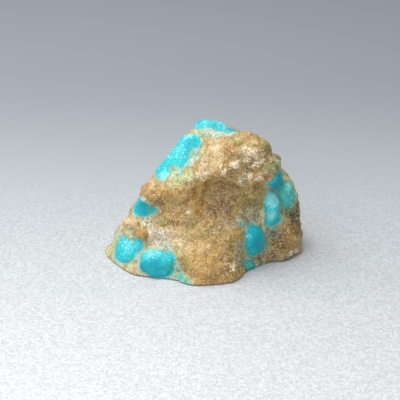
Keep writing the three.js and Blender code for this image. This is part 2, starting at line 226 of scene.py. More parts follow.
# Places where the rock's colour changes, painted in this order. Most are the rock's own colours; the
# dark hollows and a few marked spots are painted shade, and a few marked spots are painted light.
TINTED = {
    "golden": (
        spot(1.0, -5.4, 3.8, 2.6),
        spot(2.6, -6.6, 1.8, 2.2),
        spot(-0.7, -6.8, 2.0, 1.8),
        spot(0.1, -0.5, 11.0, 1.0),
        spot(-0.5, -0.7, 9.3, 1.1),
        spot(-5.7, 0.0, 10.2, 1.2),
        spot(-3.5, -1.0, 10.7, 1.0),
        spot(4.8, -3.0, 5.6, 1.1),
        spot(-8.0, -2.0, 4.9, 0.8),
        spot(0.0, -1.8, 7.2, 1.2),
        spot(4.6, -1.0, 17.5, 0.8),
        spot(-8.0, 0.3, 9.3, 0.9),
        spot(3.0, 8.6, 11.0, 2.4),
        spot(-2.0, 9.0, 3.0, 2.2),
        spot(1.9, -2.0, 13.8, 0.9, 0.8),
        spot(3.3, -1.9, 15.4, 0.8, 0.7),
    ),
    "peach": (
        spot(1.6, -1.3, 15.8, 1.4),
        spot(1.0, -1.2, 14.5, 1.2),
        spot(2.0, -0.2, 17.0, 1.1, 0.8),
        spot(-9.8, -0.6, 5.8, 1.3),
        spot(-10.2, 0.4, 4.2, 1.0, 0.9),
        spot(-10.9, 1.9, 4.3, 0.8, 0.8),
        spot(0.9, -3.6, 5.4, 1.4, 0.2),
        spot(12.0, 3.6, 10.6, 0.8, 0.8),
        spot(4.3, -2.4, 6.1, 0.8, 0.6),
        spot(-1.9, -3.9, 4.3, 1.6, 0.6),
        spot(0.5, -4.4, 4.2, 1.3, 0.5),
        spot(-4.2, -3.3, 4.0, 1.3),
        spot(-3.6, -2.6, 5.6, 1.2, 0.8),
        spot(-6.6, 0.8, 10.9, 0.8),
        spot(7.2, -0.3, 17.9, 0.9, 0.8),
        spot(-5.1, -0.2, 11.4, 0.7, 0.6),
        spot(0.5, 7.5, 14.0, 1.8),
        spot(-7.5, 6.2, 5.5, 1.5),
        # Partly the pale rock's own colour, partly painted light where the mesh's hollow left of the
        # brown knob shades it.
        spot(-9.6, -0.1, 4.1, 0.8),
        spot(-9.3, -3.3, 0.7, 0.7, 0.7),
        spot(-1.3, -1.0, 11.7, 0.8, 0.5),
    ),
    "orange": (
        spot(3.9, -1.2, 17.0, 0.8, 0.9),
        spot(1.3, -0.9, 16.3, 0.5, 0.7),
        spot(-7.3, 0.9, 10.6, 0.8, 0.8),
        spot(-8.7, -3.9, 0.5, 0.7, 0.4),
        spot(6.6, 0.2, 18.2, 0.8, 0.6),
        spot(-9.3, -0.6, 4.4, 0.7, 0.6),
        spot(2.6, -6.4, 3.0, 1.0, 0.5),
        spot(3.0, 9.3, 7.5, 1.4),
    ),
    "olive": (
        spot(6.4, -1.9, 14.8, 1.1),
        spot(5.1, -0.8, 17.6, 0.6),
        spot(8.6, -0.3, 16.6, 1.0),
        spot(7.6, -1.1, 10.8, 0.9),
        spot(5.8, -0.7, 10.4, 0.8, 0.7),
        spot(7.0, -0.6, 8.6, 1.2),
        spot(13.3, 2.9, 6.7, 1.1),
        spot(-4.6, -1.9, 6.7, 0.8),
        spot(-1.3, -2.4, 6.8, 0.8),
        spot(-2.0, -6.1, 2.1, 0.9, 0.8),
        spot(4.6, -3.9, 5.2, 0.7),
        spot(3.7, -5.2, 3.0, 1.0, 0.6),
        spot(5.3, -4.2, 2.6, 1.0, 0.6),
        spot(4.7, -4.3, 3.7, 0.9, 0.6),
        spot(-5.3, -0.6, 9.5, 0.7, 0.6),
        spot(10.0, 7.5, 6.0, 1.8),
        spot(-3.0, 8.0, 9.5, 1.5),
        spot(13.6, 2.9, 6.2, 0.8, 0.8),
        spot(4.8, -2.9, 5.9, 0.8, 0.6),
        spot(3.8, -3.0, 5.6, 0.7, 0.4),
        spot(-2.3, -5.0, 2.4, 0.7, 0.9),
        spot(-1.4, -5.9, 1.9, 0.6, 0.8),
        spot(4.2, -4.6, 3.8, 0.7, 0.9),
        spot(5.0, -5.0, 1.6, 0.7, 0.8),
    ),
    "mauve": (
        spot(3.3, -0.2, 11.0, 1.0, 0.7),
        spot(4.6, -0.3, 9.6, 1.1, 0.6),
        spot(2.6, -0.4, 9.2, 1.0, 0.7),
        spot(1.6, -0.8, 8.0, 1.1, 0.8),
        spot(0.0, -1.6, 7.4, 1.0, 0.6),
        spot(-1.6, -2.0, 7.0, 0.9, 0.6),
        spot(3.2, -1.6, 7.2, 0.9, 0.4),
        spot(-3.3, -1.3, 7.9, 1.2, 0.35),
        spot(-5.4, -0.3, 8.7, 0.8, 0.8),
        spot(-3.2, -2.3, 6.6, 0.6),
        spot(4.2, -1.6, 6.8, 1.1, 0.6),
        spot(-5.6, -2.4, 4.4, 0.8, 0.6),
        spot(9.9, -0.7, 0.8, 1.0),
        spot(4.2, -2.2, 13.9, 0.8, 0.7),
        spot(6.0, 8.8, 4.0, 2.0),
        spot(-6.0, 7.6, 6.0, 1.2),
        spot(3.5, -0.4, 7.9, 1.0, 0.9),
        spot(9.9, -0.3, 4.3, 0.8, 0.5),
    ),
    "brown": (
        spot(11.0, -0.4, 3.4, 1.6),
        spot(12.6, 0.3, 2.4, 1.2, 0.4),
        spot(13.2, 1.9, 4.2, 1.5),
        spot(4.6, -1.0, 11.8, 1.0, 0.8),
        spot(7.4, -1.5, 12.0, 0.7),
        spot(0.6, -0.4, 11.6, 0.6, 0.6),
        spot(12.6, 6.0, 5.0, 1.8),
        spot(3.5, -4.2, 4.2, 1.1, 0.55),
        spot(3.5, -5.4, 3.1, 1.2, 0.6),
        spot(3.4, -6.5, 1.9, 1.1, 0.55),
        spot(1.9, -6.9, 0.3, 1.0, 0.5),
        spot(10.1, -0.3, 4.1, 0.9, 0.5),
        # These four spots are painted shade: darker brown along the brow's underside.
        spot(1.9, -2.0, 13.5, 0.8, 0.5),
        spot(3.0, -1.9, 13.2, 0.8, 0.5),
        spot(2.6, -0.5, 12.2, 0.9, 0.7),
        spot(1.2, -0.8, 12.6, 0.6, 0.7),
    ),
    "grey": (
        spot(6.8, -0.1, 6.6, 1.3),
        spot(5.6, -1.0, 6.7, 0.9),
        spot(5.5, -3.8, 4.0, 0.8, 0.8),
        spot(5.2, -4.4, 2.4, 1.0, 0.9),
        spot(8.6, -1.4, 2.0, 1.1),
        spot(9.5, -0.7, 3.8, 0.8, 0.8),
        spot(9.5, -0.8, 5.3, 0.8),
        spot(-3.2, -5.2, 0.9, 0.9),
        spot(-1.1, 1.2, 15.0, 0.7, 0.6),
        spot(-1.2, 0.6, 14.1, 0.6, 0.6),
        spot(9.3, -1.6, 10.6, 0.7),
        spot(-6.9, -0.6, 6.4, 0.8, 0.5),
        spot(-0.5, 9.6, 8.6, 1.6),
        spot(-7.4, -0.6, 6.2, 0.9, 0.6),
        spot(-6.3, -1.0, 6.4, 0.8, 0.6),
        spot(5.4, -2.4, 13.0, 0.6, 0.9),
        spot(3.5, -0.4, 7.6, 0.8, 0.4),
        spot(-10.6, -1.6, 0.5, 0.8, 0.7),
        spot(8.5, -1.3, 0.9, 0.8, 0.8),
        spot(11.9, -0.3, 0.4, 0.8, 0.6),
        spot(9.9, 1.4, 14.1, 0.6, 0.5),
    ),
    "mint": (
        spot(-12.6, 1.7, 0.7, 1.0),
        spot(-12.2, 2.0, 1.9, 1.1),
        spot(-3.1, 0.0, 12.4, 1.0),
        spot(-1.7, -0.6, 12.7, 0.9),
        spot(-2.4, -0.3, 12.6, 0.9),
        spot(-0.4, 3.2, 17.6, 0.8, 0.9),
        spot(-0.1, 2.0, 16.9, 0.8),
        spot(10.5, 1.5, 13.8, 0.6, 0.7),
        spot(-3.8, -0.6, 11.6, 0.8, 0.6),
        spot(-4.6, -3.5, 3.3, 0.9, 0.8),
        spot(-3.2, -3.8, 3.4, 0.8, 0.6),
        spot(12.1, 3.4, 10.0, 0.9),
        spot(12.7, 3.2, 9.4, 0.7),
        spot(8.3, -0.2, 7.2, 0.7, 0.7),
        spot(-1.4, -1.4, 8.1, 0.5, 0.5),
        spot(-10.6, -1.4, 0.6, 0.9, 0.7),
        spot(-4.0, 8.5, 11.0, 1.0),
        spot(5.0, 0.2, 18.0, 0.8, 0.5),
        spot(-1.3, -0.4, 13.1, 0.7, 0.8),
        spot(12.3, 3.3, 10.0, 0.6, 0.8),
        # Partly the pale rock's own colour, partly painted light where the mesh's hollow left of the
        # brown knob shades it.
        spot(-9.7, -0.1, 4.4, 1.0),
        spot(9.9, 1.3, 14.1, 0.7, 0.9),
        spot(-9.7, -0.3, 4.0, 0.9),
        spot(-1.3, 0.9, 15.0, 0.5, 0.6),
        spot(0.3, 0.8, 16.0, 0.8, 0.9),
        spot(1.8, 1.0, 17.4, 0.7, 0.6),
        spot(-8.0, 0.2, 9.2, 0.6, 0.8),
        spot(10.0, 1.2, 14.4, 0.6, 0.8),
    ),
    "aqua": (
        spot(1.1, 2.3, 18.2, 0.9),
        spot(2.4, 1.7, 18.2, 0.9),
        spot(3.7, 1.6, 18.1, 0.9),
        spot(-0.9, 1.6, 15.6, 0.8, 0.9),
        spot(-1.3, 1.0, 14.6, 1.0),
        spot(-2.3, 1.0, 14.0, 0.8, 0.9),
        spot(-0.6, 0.6, 15.0, 0.6, 0.7),
        spot(-8.2, -3.4, 2.6, 0.8, 0.9),
        spot(-8.3, -3.8, 1.4, 0.7, 0.9),
        spot(-10.4, -2.0, 0.3, 0.7, 0.5),
        spot(-3.0, -4.6, 1.6, 0.6, 0.7),
        spot(8.6, 0.3, 7.0, 0.6, 0.8),
        spot(-6.3, 0.0, 7.4, 0.6, 0.6),
        spot(-5.8, -2.7, 3.5, 0.7, 0.8),
        spot(-4.6, -2.9, 3.6, 0.8, 0.8),
        spot(-2.9, 0.3, 12.9, 0.9, 0.6),
        spot(-7.8, 0.1, 9.0, 0.4, 0.4),
        spot(0.2, 0.9, 16.1, 0.5, 0.4),
        spot(-11.4, 1.4, 3.2, 0.8, 0.7),
        spot(-9.5, -3.4, 0.3, 0.5, 0.5),
        spot(9.2, -0.7, 15.3, 0.5, 0.6),
        spot(-6.6, -3.0, 3.2, 0.5, 0.8),
        spot(-8.5, -2.8, 1.9, 0.6, 0.8),
        spot(-7.9, -0.6, 6.3, 0.6, 0.5),
        spot(-2.6, -5.9, 0.4, 0.7, 0.9),
        spot(-1.7, -6.4, 0.2, 0.6, 0.7),
        spot(-3.3, -5.3, 0.6, 0.7, 0.6),
    ),
    "rust": (
        spot(7.7, -1.7, 12.1, 0.5),
        spot(8.8, -1.8, 13.4, 0.6, 0.6),
        spot(13.9, 2.6, 3.0, 0.9, 0.7),
        spot(8.0, 7.6, 12.0, 0.8),
    ),
    "amber": (
        spot(0.9, -0.6, 12.3, 0.9, 0.8),
        spot(0.3, -0.5, 11.2, 1.0),
        spot(-0.3, -0.6, 9.9, 1.0),
        spot(0.2, -0.8, 8.9, 0.9, 0.9),
        spot(-0.2, -1.4, 8.0, 0.8, 0.7),
        spot(-1.0, -0.8, 10.7, 0.8, 0.6),
        spot(-4.2, -1.0, 9.8, 1.2, 0.5),
        spot(-5.9, 0.2, 9.9, 0.8, 0.5),
        spot(-8.0, -2.0, 4.7, 0.5, 0.35),
        spot(8.2, -1.2, 11.4, 0.6, 0.7),
        spot(5.2, -3.6, 5.3, 0.7, 0.5),
        spot(3.6, -1.2, 17.2, 0.8, 0.5),
        spot(7.0, 0.4, 18.2, 0.8, 0.5),
        spot(12.2, 0.2, 3.4, 0.8, 0.6),
        spot(1.8, 9.0, 12.0, 1.6, 0.7),
    ),
    "sage": (
        spot(9.4, -0.8, 14.5, 0.6),
        spot(9.0, -1.6, 14.2, 0.5, 0.8),
        spot(10.2, 1.1, 13.3, 0.6, 0.7),
        spot(10.5, 2.1, 14.3, 0.6, 0.6),
        spot(8.9, -1.2, 11.0, 0.6, 0.6),
        spot(9.2, -0.4, 3.0, 0.7, 0.6),
        spot(13.2, 2.8, 6.4, 0.8, 0.6),
        spot(7.6, 8.2, 6.5, 1.2, 0.7),
        spot(11.8, 2.0, 6.6, 0.8, 0.9),
        spot(-2.3, -6.1, 0.2, 0.5, 0.6),
        spot(-3.0, -5.6, 0.2, 0.5, 0.5),
    ),
    "sugar": (
        spot(-6.2, -2.0, 4.9, 1.1),
        spot(-5.3, -2.6, 5.0, 1.0, 0.8),
        spot(-6.3, -2.4, 3.9, 0.8, 0.8),
        spot(-6.8, -1.3, 5.6, 0.7, 0.6),
        spot(-4.3, -2.8, 5.0, 1.0, 0.5),
        spot(-3.2, -2.9, 5.3, 1.0, 0.3),
        spot(-4.4, -3.6, 3.6, 0.7, 0.7),
        spot(3.6, -2.4, 6.9, 1.0, 0.5),
        spot(4.6, -2.0, 6.3, 0.7, 0.5),
        spot(-1.8, 8.6, 7.2, 1.1, 0.7),
    ),
    # Painted shade: darker rock where shade falls, in the crevices of the right end, under the bead and
    # along the base.
    "painted_shade": (
        spot(13.1, 2.1, 5.6, 0.9),
        spot(12.4, 2.3, 6.5, 0.8, 0.5),
        spot(13.5, 2.3, 4.6, 0.6, 0.4),
        spot(9.6, -0.3, 4.6, 0.6, 0.5),
        spot(8.4, -1.0, 3.2, 0.6, 0.7),
        spot(9.6, 0.0, 10.2, 0.6, 0.6),
        spot(4.2, 9.2, 2.0, 1.5, 0.5),
        spot(13.6, 2.8, 6.2, 0.6, 0.5),
        spot(8.5, -1.3, 0.7, 0.5, 0.4),
        spot(11.6, 2.2, 6.7, 0.6, 0.35),
        spot(11.9, 2.0, 6.4, 0.8, 0.6),
        spot(13.3, 2.7, 6.4, 0.8, 0.4),
        spot(10.2, -0.3, 4.1, 0.9, 0.6),
        spot(10.0, -1.0, 0.9, 0.8, 0.5),
        spot(6.4, -3.3, 0.3, 0.7, 0.9),
        spot(-6.2, 0.1, 7.9, 0.4, 0.6),
        spot(3.8, -4.3, 4.0, 0.9, 0.25),
        spot(3.6, -5.3, 3.0, 0.9, 0.2),
        spot(8.3, -1.5, 1.0, 0.8, 0.55),
        spot(-2.9, -5.2, 1.1, 0.7, 0.5),
        spot(11.9, -0.3, 0.4, 0.8, 0.55),
        spot(13.4, 2.8, 6.4, 0.9, 0.7),
        spot(4.6, -4.4, 3.2, 0.5, 0.35),
        spot(9.0, -0.3, 6.0, 0.4, 0.5),
        spot(-6.0, -0.2, 7.2, 0.5, 0.45),
    ),
    "white": (
        spot(5.2, -1.8, 17.0, 0.5, 0.3),
        spot(6.0, -2.0, 16.9, 0.7),
        spot(6.8, -2.2, 16.8, 0.8, 0.85),
        spot(7.5, -2.2, 16.4, 0.8, 0.8),
        spot(8.1, -1.6, 15.7, 0.5, 0.9),
        spot(6.3, -1.9, 15.9, 0.6, 0.8),
        spot(7.3, -1.9, 15.3, 0.6, 0.8),
        spot(8.0, -1.5, 16.8, 0.5, 0.6),
        spot(4.7, -2.4, 15.2, 0.7),
        spot(5.1, -2.2, 15.6, 0.4),
        spot(3.1, -2.3, 14.2, 0.45),
        spot(2.7, -2.0, 15.0, 0.35, 0.7),
        spot(0.1, -1.2, 13.2, 0.6),
        spot(0.7, -1.4, 13.5, 0.6, 0.8),
        spot(5.4, -2.5, 12.9, 0.4, 0.5),
        spot(6.4, -2.4, 13.6, 0.7, 0.7),
        spot(8.0, -2.0, 13.3, 0.5, 0.6),
        spot(-7.5, -0.7, 6.0, 0.8, 0.5),
        spot(-6.3, -1.9, 5.2, 0.9, 0.6),
        spot(-5.0, -2.7, 5.2, 1.0, 0.7),
        spot(-7.4, -0.5, 6.6, 0.7, 0.6),
        spot(-9.7, -0.6, 6.3, 0.4, 0.8),
        spot(4.4, -6.1, 2.1, 0.6, 0.9),
        spot(12.4, 0.0, 1.0, 0.5),
        spot(13.3, 1.2, 0.8, 0.5),
        spot(2.0, -0.4, 16.9, 0.5, 0.9),
        spot(8.6, 0.1, 5.8, 0.3),
        spot(12.9, 3.2, 9.2, 0.3, 0.8),
        spot(1.9, 1.9, 18.1, 0.7, 0.6),
        spot(-1.3, 1.0, 14.4, 0.8, 0.5),
        spot(-5.0, 7.6, 10.6, 0.9),
        spot(4.0, 9.0, 9.8, 0.7),
        spot(11.5, 7.0, 3.0, 0.8),
        spot(-6.2, -2.5, 3.5, 0.5, 0.7),
        spot(0.3, -0.8, 15.0, 0.7, 0.6),
        # Partly the pale rock's own colour, partly painted light where the mesh's hollow left of the
        # brown knob shades it.
        spot(-9.6, -0.1, 4.1, 0.8),
        spot(-1.3, -0.5, 13.1, 0.5, 0.5),
        spot(-5.6, -2.7, 3.4, 0.8),
        spot(-4.6, -2.9, 3.7, 0.6, 0.5),
        spot(-9.6, -2.4, 1.6, 0.5, 0.5),
        spot(-7.7, 0.0, 9.3, 0.5, 0.9),
        spot(-1.6, -1.4, 7.9, 0.35, 0.9),
        spot(-2.8, -3.6, 4.4, 0.9, 0.5),
        spot(-6.2, -2.5, 3.2, 0.6, 0.8),
        # Partly the pale rock's own colour, partly painted light where the mesh's hollow left of the
        # brown knob shades it.
        spot(-9.7, -0.1, 4.4, 0.7, 0.5),
        spot(10.0, 1.3, 14.2, 0.5, 0.5),
        spot(5.9, -1.0, 7.0, 0.5, 0.5),
        spot(7.4, -0.1, 7.3, 0.5, 0.5),
        spot(-4.6, -3.2, 3.9, 0.8, 0.5),
        # Partly the pale rock's own colour, partly painted light where the mesh's hollow left of the
        # brown knob shades it.
        spot(-9.6, -0.2, 4.3, 0.6, 0.6),
    ),
}

# Greener, deeper and paler turquoise. A marked deeper spot adds painted shade, and two marked paler
# spots add painted light.
TEAL = (
    spot(-4.3, -4.9, 1.1, 0.8, 0.4),
    spot(12.0, 2.4, 8.9, 1.6),
    spot(11.0, 1.5, 7.0, 1.0),
    spot(8.9, -1.4, 4.2, 1.2, 0.8),
    spot(6.8, -3.1, 0.4, 0.6),
    spot(-6.4, 0.1, 7.4, 0.9, 0.5),
    spot(-2.4, -6.1, 0.4, 1.8),
    spot(5.3, -1.4, 6.1, 0.6),
    spot(0.6, 9.4, 5.0, 1.4),
)
DEEP = (
    spot(-2.3, -6.1, 0.3, 0.8),
    spot(-4.4, -5.0, 1.0, 0.8),
    # Partly the bead's deep blue, partly painted shade at its underside.
    spot(6.8, -3.1, 0.3, 0.8),
    spot(-6.3, 0.1, 7.8, 0.6, 0.9),
    spot(7.4, -2.4, 4.2, 1.4),
    spot(6.9, -2.7, 5.1, 0.7, 0.8),
    spot(-6.2, -4.9, 1.1, 1.2),
    spot(-5.7, -5.2, 1.1, 1.4),
    spot(-7.4, -4.6, 1.0, 0.9),
    spot(10.2, -0.6, 12.3, 1.2),
    spot(10.5, 2.4, 11.0, 1.5),
    spot(-1.2, 2.3, 16.2, 0.9, 0.7),
    spot(0.1, 4.4, 18.8, 0.4, 0.4),
    spot(6.9, -2.9, 0.9, 0.8),
    spot(-8.1, -2.9, 3.1, 0.7),
    spot(-7.6, 0.2, 7.7, 1.2, 0.7),
)
PALE = (
    spot(-3.0, 2.6, 15.0, 1.4, 0.25),
    spot(0.8, 4.0, 18.7, 1.0, 0.3),
    spot(-9.7, -0.9, 2.8, 1.0, 0.45),
    spot(12.2, 2.9, 9.6, 0.6, 0.7),
    spot(-1.5, 3.5, 17.0, 0.7, 0.6),
    spot(-4.9, 1.2, 12.3, 0.7),
    # Partly paler turquoise, partly painted light on the long nodule's top, which faces away from the
    # light.
    spot(9.8, 0.7, 9.0, 1.1),
    spot(1.1, 3.8, 18.6, 1.0, 0.2),
    spot(2.5, 3.9, 18.4, 1.0, 0.3),
    spot(3.7, 4.0, 18.0, 1.0, 0.4),
    # Partly paler turquoise, partly painted light on the egg's upper left, its lit side.
    spot(6.4, -2.7, 4.9, 0.5, 0.6),
    spot(-4.9, 1.3, 12.5, 0.8, 0.3),
    spot(-10.4, -0.4, 2.9, 1.0, 0.2),
    spot(-6.4, -3.6, 2.8, 0.9, 0.6),
    spot(9.6, -0.2, 6.9, 0.7, 0.6),
)


# Colours


def tint(code):
    """A screen colour such as "#c8a36a" as a colour of light."""
    screen = np.array([int(code[i : i + 2], 16) / 255 for i in (1, 3, 5)])
    dim = screen / 12.92
    bright = ((screen + 0.055) / 1.055) ** 2.4
    return tuple(float(c) for c in np.where(screen <= 0.04045, dim, bright))


def colour(name, description, code):
    """A colour that a user may change."""
    return bpy.props.FloatVectorProperty(
        name=name, description=description, default=tint(code), subtype="COLOR", size=3, min=0, max=1
    )


def length(name, description, default, low, high):
    """A length in millimetres that a user may change."""
    return bpy.props.FloatProperty(
        name=name, description=description, default=default, min=low, max=high
    )


def share(name, description, default, low=0.0, high=1.0):
    """A plain number that a user may change."""
    return bpy.props.FloatProperty(
        name=name, description=description, default=default, min=low, max=high, subtype="FACTOR"
    )


class StoneShape(bpy.types.PropertyGroup):
    """The sizes of the rock's fine shape."""

    mesh_step: length("Mesh step (mm)", "Distance between the points of the fine mesh", 0.15, 0.12, 0.5)
    smoothing: bpy.props.IntProperty(
        name="Smoothing",
        description="Rounds that take the facets off the solid",
        default=14,
        min=0,
        max=60,
    )
    lump_height: length("Lump height (mm)", "Height of the rock's lumps", 0.2, 0, 1)
    grain_height: length("Grain height (mm)", "Height of the sugary grain", 0.06, 0, 0.5)
    crust_height: length("Crust height (mm)", "Height of the quartz crust", 0.16, 0, 0.6)
    groove_depth: length("Groove depth (mm)", "Depth of the groove round a nodule", 0.16, 0, 0.6)
    flare: length("Flare (mm)", "How far the stone spreads where it meets the floor", 0.4, 0, 1)
    rim_lift: length("Rim lift (mm)", "How far the underside's rim stands off the floor", 0.14, 0, 0.6)
    rim_width: length("Rim width (mm)", "How wide the lifted rim is", 0.5, 0.1, 2)


class StoneColours(bpy.types.PropertyGroup):
    """The colours of the stone."""

    rock: colour("Rock", "The tan of most of the host rock", "#b59b64")
    golden: colour("Golden", "Golden tan of the foot", "#ba9350")
    peach: colour("Peach", "Light peach of the cheek and the flank", "#dabd8c")
    orange: colour("Orange", "Orange tan", "#b0834a")
    olive: colour("Olive", "Olive brown", "#8e803e")
    mauve: colour("Mauve", "Mauve brown of the hollow", "#91714f")
    brown: colour("Brown", "Brown of the heel", "#83653a")
    grey: colour("Grey", "Grey green, salt-and-pepper rock", "#9a9b83")
    mint: colour("Mint", "Pale yellow green", "#c4ca92")
    aqua: colour("Aqua", "Pale crust stained by turquoise", "#a2cfc2")
    rust: colour("Rust", "Rusty spots", "#965f32")
    amber: colour("Amber", "Golden brown of the rib and the knob", "#a07a30")
    sage: colour("Sage", "Grey green of the knob", "#7f8d62")
    sugar: colour("Sugar", "Pinkish white of the left hollow", "#d8c5b4")
    # Painted shade for the crevices of the right end and the underside.
    painted_shade: colour("Dark", "Dark hollows of the right end", "#3b3a28")
    # Painted glints: the highlights of shining grains, put into the colour.
    painted_glint: colour("Glint", "The brightest grains", "#fff4dc")
    white: colour("White", "White and cream quartz", "#fbf0dc")
    turquoise: colour("Turquoise", "The main blue", "#18b8c2")
    pale_turquoise: colour("Pale turquoise", "Its lighter mottling", "#92e6e4")
    deep_turquoise: colour("Deep turquoise", "Its deepest blue", "#0492a4")
    teal: colour("Teal", "Its greener parts", "#4fae90")
    halo: colour("Halo", "The pale green edge round the turquoise", "#a3c9b2")


class StageSettings(bpy.types.PropertyGroup):
    """The camera, the lights and the floor."""

    camera_height: bpy.props.FloatProperty(
        name="Camera elevation",
        description="The angle at which the camera looks down",
        default=float(np.radians(25)),
        subtype="ANGLE",
    )
    camera_distance: length("Camera distance (mm)", "From the camera to its aim", 150, 60, 900)
    aim_height: length("Aim height (mm)", "Height of the point that the camera looks at", 9.08, 0, 60)
    lens: bpy.props.FloatProperty(
        name="Lens", description="Focal length of the lens", default=100, min=20, max=300, unit="CAMERA"
    )
    key_power: bpy.props.FloatProperty(
        name="Key light",
        description="Power of the large soft light above, from the left",
        default=0.66,
        min=0,
        unit="POWER",
    )
    fill_power: bpy.props.FloatProperty(
        name="Fill light",
        description="Power of the weaker light in front",
        default=0.2,
        min=0,
        unit="POWER",
    )
    room_light: share("Room light", "Strength of the light from all round", 0.45, 0, 5)
    paper: colour("Paper", "The floor near the camera", "#d8dadb")
    # The shade colour is painted: the floor's darkening towards the back and the stone's shadow to the
    # right.
    shade: colour("Shade", "The floor far behind", "#91969c")


# Building a material's nodes


class Value:
    """An output of a node. Sums on it add Math nodes."""

    def __init__(self, nodes, socket):
        self.nodes = nodes
        self.socket = socket

    def other(self, name):
        """Another output of the same node."""
        return Value(self.nodes, self.socket.node.outputs[name])

    def math(self, operation, first, second):
        return self.nodes.add("ShaderNodeMath", {"operation": operation}, {0: first, 1: second})

    def __add__(self, number):
        return self.math("ADD", self, number)

    __radd__ = __add__

    def __sub__(self, number):
        return self.math("SUBTRACT", self, number)

    def __rsub__(self, number):
        return self.math("SUBTRACT", number, self)

    def __mul__(self, number):
        return self.math("MULTIPLY", self, number)

    __rmul__ = __mul__


class Nodes:
    """The nodes of one material."""

    def __init__(self, name):
        self.material = bpy.data.materials.new(name)
        self.material.use_nodes = True
        self.tree = self.material.node_tree
        self.tree.nodes.clear()

    def add(self, kind, settings=None, inputs=None, output=0):
        """Adds a node: its settings first, then the values or links of its sockets."""
        node = self.tree.nodes.new(kind)
        for name, value in (settings or {}).items():
            setattr(node, name, value)
        for name, value in (inputs or {}).items():
            socket = node.inputs[name]
            if isinstance(value, Value):
                self.tree.links.new(value.socket, socket)
            elif socket.type == "RGBA":
                socket.default_value = (*value, 1.0)
            else:
                socket.default_value = value
        return Value(self, node.outputs[output]) if node.outputs else None

    def attribute(self, name):
        return self.add("ShaderNodeAttribute", {"attribute_name": name}, output="Fac")

    def millimetres(self):
        """The place on the piece, in millimetres."""
        place = self.add("ShaderNodeTexCoord", output="Object")
        return self.add("ShaderNodeVectorMath", {"operation": "SCALE"}, {0: place, "Scale": 1 / MM})

    def clouds(self, place, scale, detail=3.0, roughness=0.55):
        """Soft noise from 0 to 1."""
        return self.add(
            "ShaderNodeTexNoise",
            None,
            {"Vector": place, "Scale": scale, "Detail": detail, "Roughness": roughness},
        )

    def grains(self, place, scale):
        """Cells such as grains of sand, as the distance from each grain's middle."""
        return self.add("ShaderNodeTexVoronoi", None, {"Vector": place, "Scale": scale})

    def chance(self, grains):
        """A number from 0 to 1 that is the same all over one grain."""
        return self.add("ShaderNodeSeparateColor", None, {"Color": grains.other("Color")})

    def step(self, value, start, end):
        """0 below start, 1 above end and smooth between them."""
        return self.add(
            "ShaderNodeMapRange",
            {"interpolation_type": "SMOOTHSTEP"},
            {"Value": value, "From Min": start, "From Max": end},
        )

    def mix(self, factor, first, second, blend="MIX"):
        """The colour that goes from the first to the second."""
        return self.add(
            "ShaderNodeMix",
            {"data_type": "RGBA", "blend_type": blend},
            {0: factor, 6: first, 7: second},
            output=2,
        )

    def facets(self, place, grains):
        """The height of tilted flat faces, one on each grain."""
        from_middle = self.add(
            "ShaderNodeVectorMath", {"operation": "SUBTRACT"}, {0: place, 1: grains.other("Position")}
        )
        lean = self.add(
            "ShaderNodeVectorMath",
            {"operation": "SUBTRACT"},
            {0: grains.other("Color"), 1: (0.5, 0.5, 0.5)},
        )
        return self.add(
            "ShaderNodeVectorMath",
            {"operation": "DOT_PRODUCT"},
            {0: from_middle, 1: lean},
            output="Value",
        )

    def finish(self, shader):
        self.add("ShaderNodeOutputMaterial", None, {"Surface": shader})
        return self.material


# The stone's shape


# Points of the solid that lie closer than this are one point, in millimetres.
SAME_POINT = 0.001
# The sizes of the lumps, the grain and the crystals, in millimetres.
LUMP_SIZE = 1.6
SMALL_LUMP_SIZE = 0.75
GRAIN_SIZE = 0.42
CRYSTAL_SIZE = 0.5
CRUST_SIZE = 0.7
# The heights over the floor at which the rock is free of its flat base and of its spread.
FREE_OF_BASE = 0.5
FREE_OF_FLARE = 1.2


def fine_mesh(shape):
    """The solid's mesh in millimetres, remade in even small steps, without its facets."""
    start = bmesh.new()
    start.from_mesh(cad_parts[SOLID].data)
    bmesh.ops.remove_doubles(start, verts=start.verts, dist=SAME_POINT * MM)
    bmesh.ops.scale(start, vec=(1 / MM,) * 3, verts=start.verts)
    coarse = bpy.data.meshes.new("coarse")
    start.to_mesh(coarse)
    start.free()
    holder = bpy.data.objects.new("coarse", coarse)
    bpy.context.scene.collection.objects.link(holder)
    remesh = holder.modifiers.new("even steps", "REMESH")
    remesh.mode = "VOXEL"
    remesh.voxel_size = shape.mesh_step
    soften = holder.modifiers.new("soften", "SMOOTH")
    soften.factor = 0.5
    soften.iterations = shape.smoothing
    settled = holder.evaluated_get(bpy.context.evaluated_depsgraph_get())
    fine = bpy.data.meshes.new_from_object(settled)
    bpy.data.objects.remove(holder)
    bpy.data.meshes.remove(coarse)
    return fine


def read_points(mesh):
    points = np.empty(len(mesh.vertices) * 3, np.float32)
    mesh.vertices.foreach_get("co", points)
    return points.reshape(-1, 3).astype(float)


def read_normals(mesh):
    normals = np.empty(len(mesh.vertices) * 3, np.float32)
    mesh.vertex_normals.foreach_get("vector", normals)
    return normals.reshape(-1, 3).astype(float)


def smooth_step(values, start, end):
    """0 below start, 1 above end and smooth between them."""
    t = np.clip((values - start) / (end - start), 0, 1)
    return t * t * (3 - 2 * t)


def wander(points, size, amount):
    """The points after each is shifted a little, so that outlines drawn on them wander."""
    shifts = [noise.noise_vector(Vector(p)) for p in points / size]
    return points + np.array(shifts) * amount


def turquoise_depth(points):
    """How far inside the turquoise each point lies, in millimetres; less than 0 outside it."""
    proud = [(1 - patch.spread(points, SQUARENESS)) * patch.small for patch, _ in RAISED.values()]
    level = [(1 - patch.spread(points)) * patch.small for patch in LEVEL]
    inside = np.max(proud + level, axis=0)
    bare = np.max([(1 - patch.spread(points)) * patch.small for patch in BARE], axis=0)
    return np.minimum(inside, -bare)


